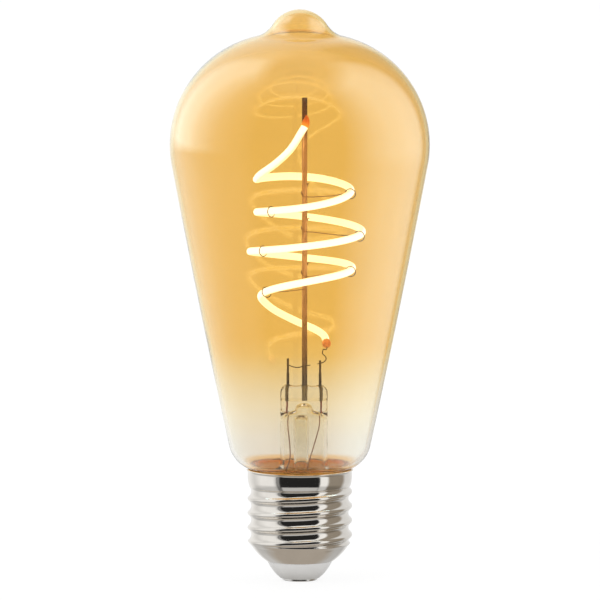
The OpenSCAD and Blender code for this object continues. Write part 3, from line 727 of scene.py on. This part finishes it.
def between(i, t, k):
    """Distance (k = 1) or height (k = 2) between station i and the next, smooth in angle."""
    a, b = FILAMENT[i], FILAMENT[i + 1]
    w = b[0] - a[0]
    return (
        a[k] * (2 * t ** 3 - 3 * t ** 2 + 1) + b[k] * (3 * t ** 2 - 2 * t ** 3)
        + w * (slope(i, k) * (t ** 3 - 2 * t ** 2 + t) + slope(i + 1, k) * (t ** 3 - t ** 2))
    )


def filament_at(angle):
    i = next(i for i in range(len(FILAMENT) - 1) if FILAMENT[i + 1][0] <= angle)
    t = (FILAMENT[i][0] - angle) / (FILAMENT[i][0] - FILAMENT[i + 1][0])
    r, z = between(i, t, 1), between(i, t, 2)
    a = math.radians(angle)
    return Vector((MAST_X + r * math.cos(a), r * math.sin(a), z))


FIRST, LAST = FILAMENT[0][0], FILAMENT[-1][0]
CORD_RINGS = 440
cord_path = [filament_at(FIRST + (LAST - FIRST) * i / CORD_RINGS) for i in range(CORD_RINGS + 1)]


def along_cord(i):
    a, b = cord_path[max(i - 1, 0)], cord_path[min(i + 1, CORD_RINGS)]
    return (b - a).normalized()


def make_cord(material):
    sides = 20
    rings, outward = [], []
    for i, p in enumerate(cord_path):
        t = along_cord(i)
        out = Vector((p.x - MAST_X, p.y, 0))
        out = (out - out.dot(t) * t).normalized()
        up = t.cross(out)
        outward += [0.5 + 0.5 * math.sin(a) for a in circle(sides)]
        rings.append([p + FILAMENT_R * (math.cos(a) * up + math.sin(a) * out) for a in circle(sides)])
    points, faces = ring_solid(rings)
    piece = make_piece("filament_silicone", points, faces, material)
    layer = piece.data.attributes.new("outward", "FLOAT", "POINT")
    layer.data.foreach_set("value", outward)
    hide_from(piece, "glossy")
    return piece


def make_bead(name, route, radii, material):
    """A blob of silicone along a short route, with a radius at each point of it."""
    path = curve_through([(*p, r) for p, r in zip(route, radii)], 5)
    points, faces = tube([p[:3] for p in path], [p[3] for p in path], 28)
    return make_piece(name, points, faces, material)


def bead_top(material):
    p, back = cord_path[0], -along_cord(0)
    turn = (back + Vector((0, 0, 1.2))).normalized()
    neck = p + 0.5 * back
    bend, tip = neck + 1.4 * turn + Vector((0, 0, 0.1)), neck + 1.9 * turn + Vector((-0.15, 0.1, 0.4))
    route = [p, neck, neck + 0.7 * turn, bend, tip]
    return make_bead("filament_end_top", route, [0.98, 1.02, 0.95, 0.68, 0.3], material)


def bead_bottom(material):
    p, t = cord_path[-1], along_cord(CORD_RINGS)
    route = [p + length * t for length in (0, 0.4, 1.1, 1.7, 2.05)]
    return make_bead("filament_end_bottom", route, [0.99, 1.1, 1.08, 0.7, 0.2], material)


# ---------------------------------------------------------------- supports

def grip(angle, start, end, steps):
    """A ring round the cord, from one angle to another round it."""
    c = filament_at(angle)
    t = (filament_at(angle - 2) - filament_at(angle + 2)).normalized()
    out = Vector((c.x - MAST_X, c.y, 0))
    out = (out - out.dot(t) * t).normalized()
    up = out.cross(t)
    r = FILAMENT_R + RING_GAP + SUPPORT_R
    turns = [math.radians(start + (end - start) * i / steps) for i in range(steps + 1)]
    drop = Vector((0, 0, RING_DROP))
    return [c + r * (math.cos(a) * out + math.sin(a) * up) - drop for a in turns]


def wrap(z, start, end, rise, steps):
    """A stretch wound up the mast."""
    r = MAST_R + SUPPORT_R + 0.01
    turns = [(i / steps, math.radians(start + (end - start) * i / steps)) for i in range(steps + 1)]
    return [Vector((MAST_X + r * math.cos(a), r * math.sin(a), z + rise * t)) for t, a in turns]


def make_support_right(number, angle, z, material):
    bend = Vector((MAST_X + 2, -1.3, z - 0.1))
    stub = Vector((MAST_X + MAST_R + 0.45, -0.5, z + 3.3))
    route = grip(angle, 130, -180, 26) + [bend] + wrap(z, 250, -20, 3.1, 18) + [stub]
    return make_wire(f"support_right_{number}", route, SUPPORT_R, material, 2, 10)


def make_support_left(number, angle, z, material):
    end = [Vector((MAST_X - 0.9, -0.85, z)), Vector((MAST_X + 0.3, -MAST_R - SUPPORT_R - 0.02, z + 0.1))]
    route = grip(angle, 150, -180, 26) + end
    return make_wire(f"support_left_{number}", route, SUPPORT_R, material, 2, 10)


JUMPER_R = 0.12
HOOK_R = 0.13


def jumper_route():
    front = -MAST_R - JUMPER_R - 0.02
    return [
        (LEAD_X[0] + LEAD_THIN_R - 0.1, front + 0.25, 54.3), (LEAD_X[0] + 1.2, front + 0.1, 53.9),
        (-0.5, front, 53.7), (MAST_X - 0.8, front, 53.9), (MAST_X + 0.5, front, 54.2), (MAST_X + 1.4, front, 54.3),
    ]


def hook_route():
    end = cord_path[-1] + 2.08 * along_cord(CORD_RINGS)
    front = -LEAD_THIN_R - HOOK_R - 0.02
    return [
        end, end + Vector((-0.3, -0.5, -0.5)), end + Vector((-1, -1.3, -0.4)), (5.7, 0.4, 57.1), (6.5, -0.2, 56.3),
        (6.5, -0.5, 55.6), (5.9, -0.5, 55), (LEAD_X[1], front, 54.7), (LEAD_X[1] - 0.6, front, 54.6),
    ]


# ---------------------------------------------------------------- screw cap

CREST_ARC_R = 0.65
HALF_TURN = THREAD_PITCH / 2
STEEPEST = 2 * math.atan(THREAD_DEPTH / HALF_TURN)
VALLEY_ARC_R = HALF_TURN / math.sin(STEEPEST) - CREST_ARC_R


def sag(x, r):
    return r - math.sqrt(r * r - x * x)


def groove(z, a):
    """The thread's depth: a tight arc over each crest runs into a wider one along the valley."""
    turn = (z - CREST_Z) / THREAD_PITCH - a / (2 * math.pi)
    off = abs(turn - round(turn)) * THREAD_PITCH
    on_crest = off < CREST_ARC_R * math.sin(STEEPEST)
    depth = sag(off, CREST_ARC_R) if on_crest else THREAD_DEPTH - sag(HALF_TURN - off, VALLEY_ARC_R)
    fade = max(0.0, min(1.0, (THREAD_TOP - z) / FADE_H, (z - THREAD_FOOT) / FADE_H))
    return fade * fade * (3 - 2 * fade) * depth


def lesser(a, b, soft=0.15):
    """The smaller of two lengths, rounded where they cross."""
    h = max(0.0, min(1.0, 0.5 + 0.5 * (b - a) / soft))
    return b + (a - b) * h - soft * h * (1 - h)


def thread_base(z):
    """The radius that the thread can't pass: it grows from the waist and closes towards the foot."""
    return min(CREST_R + 0.3, WAIST_R + 0.5 * (WAIST_Z - z), FOOT_EDGE_R + 0.8 * (z - THREAD_FOOT))


# Rows of the rim's lip, as (radius, height over the rim), and of the foot, as (radius, height).
LIP = [
    (12.75, 0.0), (12.95, 0.055), (13.18, 0.03), (13.33, -0.08), (13.37, -0.2), (13.3, -0.34), (13.15, -0.47),
    (13.07, -0.66), (13.05, -1.0), (13.05, -2.0), (13.03, -2.5), (12.96, -3.1), (12.85, -3.6), (12.71, -4.1),
    (WAIST_R, WAIST_Z - RIM_Z),
]
FOOT = [
    (FOOT_EDGE_R, THREAD_FOOT), (12.02, 8.62), (11.7, 8.15), (10.95, 7.2), (10.0, 6.2), (9.2, 5.5), (8.72, 5.12),
    (8.42, 4.93), (8.3, 4.98),
]


def make_shell(material):
    steps, thread_rows = 200, 96
    lip = smoothed([(r, RIM_Z + z) for r, z in LIP], 3)
    heights = [WAIST_Z - (WAIST_Z - THREAD_FOOT) * i / thread_rows for i in range(1, thread_rows)]
    outside = lip + [(thread_base(z), z) for z in heights] + smoothed(FOOT, 4)
    walls = [p for p in outside if p[1] < RIM_Z - 0.7]
    turns = circle(steps)

    def ring(r, z, inset):
        threaded = THREAD_FOOT < z < THREAD_TOP
        radii = [(lesser(r, CREST_R - groove(z, a)) if threaded else r) - inset for a in turns]
        return [(q * math.cos(a), q * math.sin(a), z) for q, a in zip(radii, turns)]

    rings = [ring(r, z, 0) for r, z in outside] + [ring(r, z, SHEET) for r, z in walls[::-1]]
    rings.append(ring(COLLAR_R, RIM_Z - 0.3, SHEET))
    points, faces = ring_solid(rings, closed=True)
    return make_piece("screw_shell", points, faces, material)


RIVET_R = 1.1


def make_insulator(material):
    low, top = INSULATOR_FOOT, INSULATOR_TOP
    cone = [
        (4.75, low), (5.0, low + 0.1), (5.3, low + 0.4), (6.1, 1.7), (6.85, 2.65), (7.5, 3.6), (8.0, 4.5), (8.2, 4.8),
        (8.25, 4.9),
    ]
    inside = [(7.9, 4.92), (7.9, 5.6), (7.4, top), (RIVET_R, top)]
    points, faces = turned([(RIVET_R, low)] + smoothed(cone, 4) + inside, 128, closed=True)
    return make_piece("cap_insulator", points, faces, material, 40)


def make_contact(material):
    r = x_span("centre_contact")[1]
    top, rivet_top = INSULATOR_FOOT, z_span("centre_contact")[1]
    plate = [(0, 0.0), (2.6, 0.0), (3.9, 0.02)] + arc((r - 0.25, 0.27), 0.25, -80, 0, 6)
    plate += [(r, top - 0.06), (r - 0.06, top)]
    rivet = [(RIVET_R, top), (RIVET_R, rivet_top), (0.6, rivet_top), (0.6, 1.3), (0.45, 1.2), (0, 1.2)]
    points, faces = turned(plate + rivet, 96)
    return make_piece("centre_contact", points, faces, material, 40)


def make_cement(material):
    """The ring of cement between the neck and the shell, drawn up to the glass's shoulder."""
    outer = COLLAR_R - SHEET - 0.09
    foot = NECK_Z + 0.1
    reach = 12.8 - SHOULDER_AT[0]
    meet = SHOULDER_AT[1] - math.sqrt(SHOULDER_R ** 2 - reach ** 2)
    turn_in = SHOULDER_AT[1] - math.sqrt(SHOULDER_R ** 2 - (NECK_R - SHOULDER_AT[0]) ** 2)
    under = []
    for i in range(7):
        z = meet - (meet - turn_in) * i / 6
        across = math.sqrt(SHOULDER_R ** 2 - (SHOULDER_AT[1] - z) ** 2)
        under.append((SHOULDER_AT[0] + across + 0.01, z - 0.01))
    corner = [(outer, RIM_Z - 0.5), (outer + 0.03, RIM_Z - 0.15), (12.74, RIM_Z + 0.03), (12.81, meet - 0.01)]
    side = [(NECK_R + 0.01, foot), (WAIST_R - SHEET - 0.1, foot), (outer, foot + 2)]
    outline = tidy(side + smoothed(corner, 3) + under)
    points, faces = turned(outline, 160, closed=True)
    return make_piece("capping_cement", points, faces, material)


# ---------------------------------------------------------------- making

amber = amber_glass()
clear = stem_glass()
mast_metal = wire_metal(
    "mast_metal",
    [
        (0.0, (0.46, 0.36, 0.20)), (0.04, (0.46, 0.36, 0.20)), (0.05, (0.16, 0.13, 0.12)), (0.12, (0.26, 0.18, 0.15)),
        (0.3, (0.74, 0.49, 0.42)), (0.85, (0.76, 0.48, 0.39)), (0.9, (0.24, 0.12, 0.08)), (1.0, (0.16, 0.09, 0.06)),
    ],
    PRESS_Z + 3.6, MAST_TOP, 0.3, 0.5,
)
support_metal = support_wire()
lead_metal = wire_metal(
    "lead_metal",
    [
        (0.0, (0.34, 0.24, 0.12)), (0.45, (0.34, 0.26, 0.14)), (0.47, (0.13, 0.09, 0.06)), (0.6, (0.14, 0.10, 0.07)),
        (1.0, (0.26, 0.20, 0.13)),
    ],
    PRESS_Z, 58, 0.45, 0.5,
)
dumet_stops = [(0.0, (0.55, 0.13, 0.05)), (1.0, (0.35, 0.1, 0.05))]
dumet_copper = wire_metal("dumet_copper", dumet_stops, PRESS_Z, PRESS_TOP, 0.4, 0.6)
copper_wire = wire_metal("copper_wire", [(0.0, (0.5, 0.27, 0.16)), (1.0, (0.45, 0.2, 0.1))], NECK_Z, PRESS_Z)
tab_metal = wire_metal("tab_metal", [(0.0, (0.22, 0.1, 0.055)), (1.0, (0.12, 0.06, 0.04))], 116, MAST_TOP, 0.35)

bulb = make_glass(amber)
make_stem(clear)
make_exhaust(clear)
make_mast(mast_metal)
make_tab(tab_metal)
for side, route in enumerate((OUTER_LEFT, OUTER_RIGHT)):
    make_lead(side, lead_metal)
    make_dumet(side, dumet_copper)
    make_wire(("outer_lead_left", "outer_lead_right")[side], route, OUTER_R, copper_wire)
make_wire("jumper_wire", jumper_route(), JUMPER_R, lead_metal)
make_wire("hook_wire", hook_route(), HOOK_R, lead_metal)
make_cord(silicone_glow())
# Each bead's painted glow: its hot and cool colours and its emission strength.
bead_top(bead_silicone("bead_silicone_top", (1.0, 0.62, 0.12), (0.9, 0.22, 0.03), cord_path[0], 1.2))
bead_bottom(bead_silicone("bead_silicone_bottom", (1.0, 0.55, 0.25), (0.95, 0.38, 0.17), cord_path[-1], 0.9))
for number, (angle, z) in enumerate(SUPPORTS_RIGHT, 1):
    make_support_right(number, angle, z, support_metal)
for number, (angle, z) in enumerate(SUPPORTS_LEFT, 1):
    make_support_left(number, angle, z, support_metal)
make_shell(cap_nickel())
make_insulator(insulator_white())
make_contact(plain_part("contact_metal", (0.62, 0.61, 0.59), (0.78, 0.77, 0.75), 0.2, 1.0, 2.0))
make_cement(cement_amber())

# Inner parts that keep their CAD shape: node, its darker and lighter colour, roughness, metallic.
INNER = {
    "filament_strip": ((0.80, 0.78, 0.70), (0.90, 0.88, 0.80), 0.5, 0.0),
    "filament_chips": ((0.85, 0.70, 0.20), (0.95, 0.82, 0.35), 0.25, 0.0),
    "driver_holder": ((0.80, 0.79, 0.75), (0.88, 0.87, 0.83), 0.5, 0.0),
    "driver_board": ((0.01, 0.10, 0.035), (0.02, 0.16, 0.06), 0.35, 0.0),
    "electrolytic_capacitor": ((0.02, 0.025, 0.09), (0.04, 0.05, 0.16), 0.3, 0.0),
    "bridge_rectifier": ((0.02, 0.02, 0.02), (0.045, 0.045, 0.045), 0.55, 0.0),
    "inductor_core": ((0.03, 0.03, 0.033), (0.06, 0.06, 0.065), 0.65, 0.1),
    "inductor_winding": ((0.45, 0.14, 0.04), (0.62, 0.22, 0.07), 0.3, 0.7),
    "driver_chip": ((0.015, 0.015, 0.016), (0.035, 0.035, 0.038), 0.5, 0.0),
    "fuse_resistor": ((0.50, 0.38, 0.22), (0.62, 0.50, 0.32), 0.45, 0.0),
    "radio_board": ((0.01, 0.08, 0.03), (0.015, 0.13, 0.05), 0.35, 0.0),
    "radio_shield": ((0.55, 0.55, 0.54), (0.70, 0.70, 0.68), 0.3, 1.0),
    "radio_antenna": ((0.78, 0.78, 0.75), (0.86, 0.86, 0.83), 0.3, 0.0),
    "live_wire": ((0.55, 0.55, 0.54), (0.70, 0.70, 0.68), 0.3, 1.0),
    "neutral_wire": ((0.55, 0.55, 0.54), (0.70, 0.70, 0.68), 0.3, 1.0),
}
for node, (dark, light, roughness, metallic) in INNER.items():
    finish = plain_part("inner_" + node, dark, light, roughness, metallic)
    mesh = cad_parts[node].data
    mesh.materials.clear()
    mesh.materials.append(finish)


# ---------------------------------------------------------------- studio

def floor_material():
    paint = Paint("floor_white", Roughness=0.9, Specular_IOR_Level=0.1, Emission_Strength=0.86)
    paint.drive("Base Color", paint.ramp(paint.noise(40, 3), [(0.3, 0.145), (0.7, 0.15)]))
    paint.shader.inputs["Emission Color"].default_value = (1, 1, 1, 1)
    return paint.material


def make_floor():
    steps, reach = 96, 7.0
    ring = [(reach * math.cos(a), reach * math.sin(a), 0) for a in circle(steps)]
    mesh = bpy.data.meshes.new("floor")
    mesh.from_pydata(ring, [], [tuple(range(steps))])
    mesh.materials.append(floor_material())
    floor = add_object("floor", mesh)
    hide_from(floor, "glossy")


class Sky(Nodes):
    """A sphere's glow, by azimuth from the camera's side (right is positive) and by elevation."""

    def __init__(self, name):
        super().__init__(name, empty=True)
        # A radial gradient: 0.5 towards the camera at -Y, growing to the right.
        turn = self.add("Mapping", {"Rotation": (0, 0, math.radians(90)), "Vector": self.place})
        gradient = self.add("TexGradient", {"Vector": turn.outputs[0]}, gradient_type="RADIAL")
        self.azimuth = gradient.outputs["Fac"]
        unit = self.add("VectorMath", {0: self.place}, operation="NORMALIZE")
        parts = self.add("SeparateXYZ", {0: unit.outputs[0]})
        self.rise = self.add("MapRange", {"Value": parts.outputs["Z"], "From Min": -1.0}).outputs[0]

    def around(self, stops):
        return self.ramp(self.azimuth, [(azimuth / 360 + 0.5, level) for azimuth, level in stops])

    def up(self, stops):
        rises = [(math.sin(math.radians(elevation)) + 1) / 2 for elevation, level in stops]
        return self.ramp(self.rise, [(rise, level) for rise, (elevation, level) in zip(rises, stops)])

    def finish(self, colour, strength, clear=False):
        """Glow of a colour; a clear sphere lets everything behind it through as well."""
        surface = self.add("Emission", {"Color": colour, "Strength": strength}).outputs[0]
        if clear:
            through = self.add("BsdfTransparent")
            surface = self.add("AddShader", {0: surface, 1: through.outputs[0]}).outputs[0]
        self.add("OutputMaterial", {"Surface": surface})
        self.material.cycles.emission_sampling = "NONE"
        return self.material


WARM_GREY = (0.31, 0.27, 0.22)
UNDER_GREY = (0.42, 0.37, 0.32)


def studio_sky():
    """What the polished cap mirrors: a dark camera side, a light left, a bright strip and a dim right."""
    sky = Sky("studio_sky")
    sides = sky.around([
        (-180, 0.9), (-150, 0.95), (-122, 0.75), (-95, 0.95), (-62, 0.92), (-56, 0.7), (-53, 0.15), (-49, 0.35),
        (-45, 0.02), (44, 0.02), (48, 1.0), (64, 1.0), (70, WARM_GREY), (110, WARM_GREY), (122, 0.75), (180, 0.85),
    ])
    tone = sky.up([
        (-90, UNDER_GREY), (-72, (0.45, 0.40, 0.35)), (-64, 0.65), (-28, 0.62), (-18, 1.0), (90, 1.0),
    ])
    front = sky.up([
        (-90, UNDER_GREY), (-76, UNDER_GREY), (-70, 0.5), (-30, 0.57), (-26, 0.02), (57, 0.02), (59, 1.0), (75, 1.0),
        (79, WARM_GREY), (90, WARM_GREY),
    ])
    in_front = sky.around([(-180, 0), (-46, 0), (-43, 1), (43, 1), (47, 0), (180, 0)])
    below = sky.up([(-90, 1), (-58, 1), (-42, 0), (90, 0)])
    walls = sky.mix(in_front, sky.times(sides, tone), front)
    return sky.finish(sky.mix(below, walls, (0.43, 0.385, 0.335)), 1.0)


def glass_sky():
    """What the glass mirrors: a white studio, dim on the camera's side, and two tall soft panels."""
    sky = Sky("glass_sky")
    room = sky.around([
        (-180, 0.27), (-162, 0.22), (-150, 0.2), (-138, 0.26), (-60, 0.25), (-40, 0.06), (40, 0.06), (60, 0.2),
        (132, 0.25), (144, 0.08), (164, 0.07), (172, 0.25), (180, 0.27),
    ])
    left = sky.around([
        (-180, 0), (-150, 0.24), (-138, 0.7), (-116, 1.0), (-96, 0.6), (-80, 0.22), (-62, 0), (180, 0),
    ])
    left_rise = sky.up([(-90, 0.0), (-34, 0.18), (-6, 0.24), (-1, 1.0), (62, 1.0), (74, 0), (90, 0)])
    right = sky.around([
        (-180, 0), (40, 0), (56, 0.34), (72, 0.75), (90, 1.0), (112, 0.8), (134, 0.3), (142, 0), (180, 0),
    ])
    right_rise = sky.up([(-90, 0.0), (-48, 0.5), (-16, 0.7), (-4, 1.0), (58, 1.0), (74, 0), (90, 0)])
    lit = sky.mix(1.0, sky.times(left, left_rise), sky.times(right, right_rise), "ADD")
    ends = sky.up([(-90, 1.0), (-62, 1.0), (-40, 0.0), (50, 0.0), (66, 1.0), (90, 1.0)])
    around = sky.mix(ends, room, (0.26, 0.26, 0.26))
    all_round = sky.mix(1.0, around, sky.times(lit, (0.72, 1.0, 1.06)), "ADD")
    fall = sky.up([(-90, 0.35), (-46, 0.4), (-31, 1.0), (90, 1.0)])
    return sky.finish(sky.times(all_round, fall), 3.6, clear=True)


def make_sphere(name, radius, material):
    """A large sphere that only mirror reflections see."""
    work = bmesh.new()
    bmesh.ops.create_uvsphere(work, u_segments=64, v_segments=32, radius=radius)
    mesh = bpy.data.meshes.new(name)
    work.to_mesh(mesh)
    work.free()
    mesh.materials.append(material)
    sphere = add_object(name, mesh)
    hide_from(sphere, "camera", "diffuse", "transmission", "volume_scatter", "shadow")
    return sphere


def aim(obj, place, target):
    obj.location = place
    obj.rotation_euler = (target - place).to_track_quat("-Z", "Y").to_euler()


def make_light(name, size, power, place, target):
    data = bpy.data.lights.new(name, "AREA")
    data.shape = "RECTANGLE"
    data.size, data.size_y = size
    data.energy = power
    lamp = add_object(name, data)
    aim(lamp, Vector(place), Vector(target))
    hide_from(lamp, "camera", "glossy", "transmission")


def make_camera():
    """A long lens, aimed at the bulb's middle from the front and a little above it."""
    distance = 3.0
    elevation = math.radians(6.2)
    view_width = 0.15
    target = Vector((0.05 * MM, 0, 70.5 * MM))
    data = bpy.data.cameras.new("camera")
    data.sensor_width = 36
    data.lens = data.sensor_width * distance / view_width
    data.clip_end = 100
    scene.camera = add_object("camera", data)
    aim(scene.camera, target + distance * Vector((0, -math.cos(elevation), math.sin(elevation))), target)


make_floor()
# The glass mirrors a sky of its own, and everything else mirrors the other.
for name, radius, material, state in (
    ("studio_sky", 9.0, studio_sky(), "EXCLUDE"), ("glass_sky", 8.5, glass_sky(), "INCLUDE"),
):
    receivers = bpy.data.collections.new(name + "_receivers")
    receivers.objects.link(bulb)
    receivers.collection_objects[0].light_linking.link_state = state
    make_sphere(name, radius, material).light_linking.receiver_collection = receivers
bulb_middle = (0, 0, 0.07)
make_light("key", (1.2, 1.2), 12, (-1.6, -1.4, 1.6), bulb_middle)
make_light("fill", (1.2, 1.2), 5, (1.8, -0.8, 1.2), bulb_middle)
world = bpy.data.worlds.new("studio")
scene.world = world
world.use_nodes = True
background = world.node_tree.nodes["Background"]
background.inputs["Color"].default_value = (1, 1, 1, 1)
background.inputs["Strength"].default_value = 1.0
make_camera()
scene.view_settings.view_transform = "Standard"
scene.cycles.max_bounces = 28
scene.cycles.transmission_bounces = 28
scene.cycles.glossy_bounces = 8
scene.cycles.diffuse_bounces = 4
scene.cycles.caustics_reflective = False
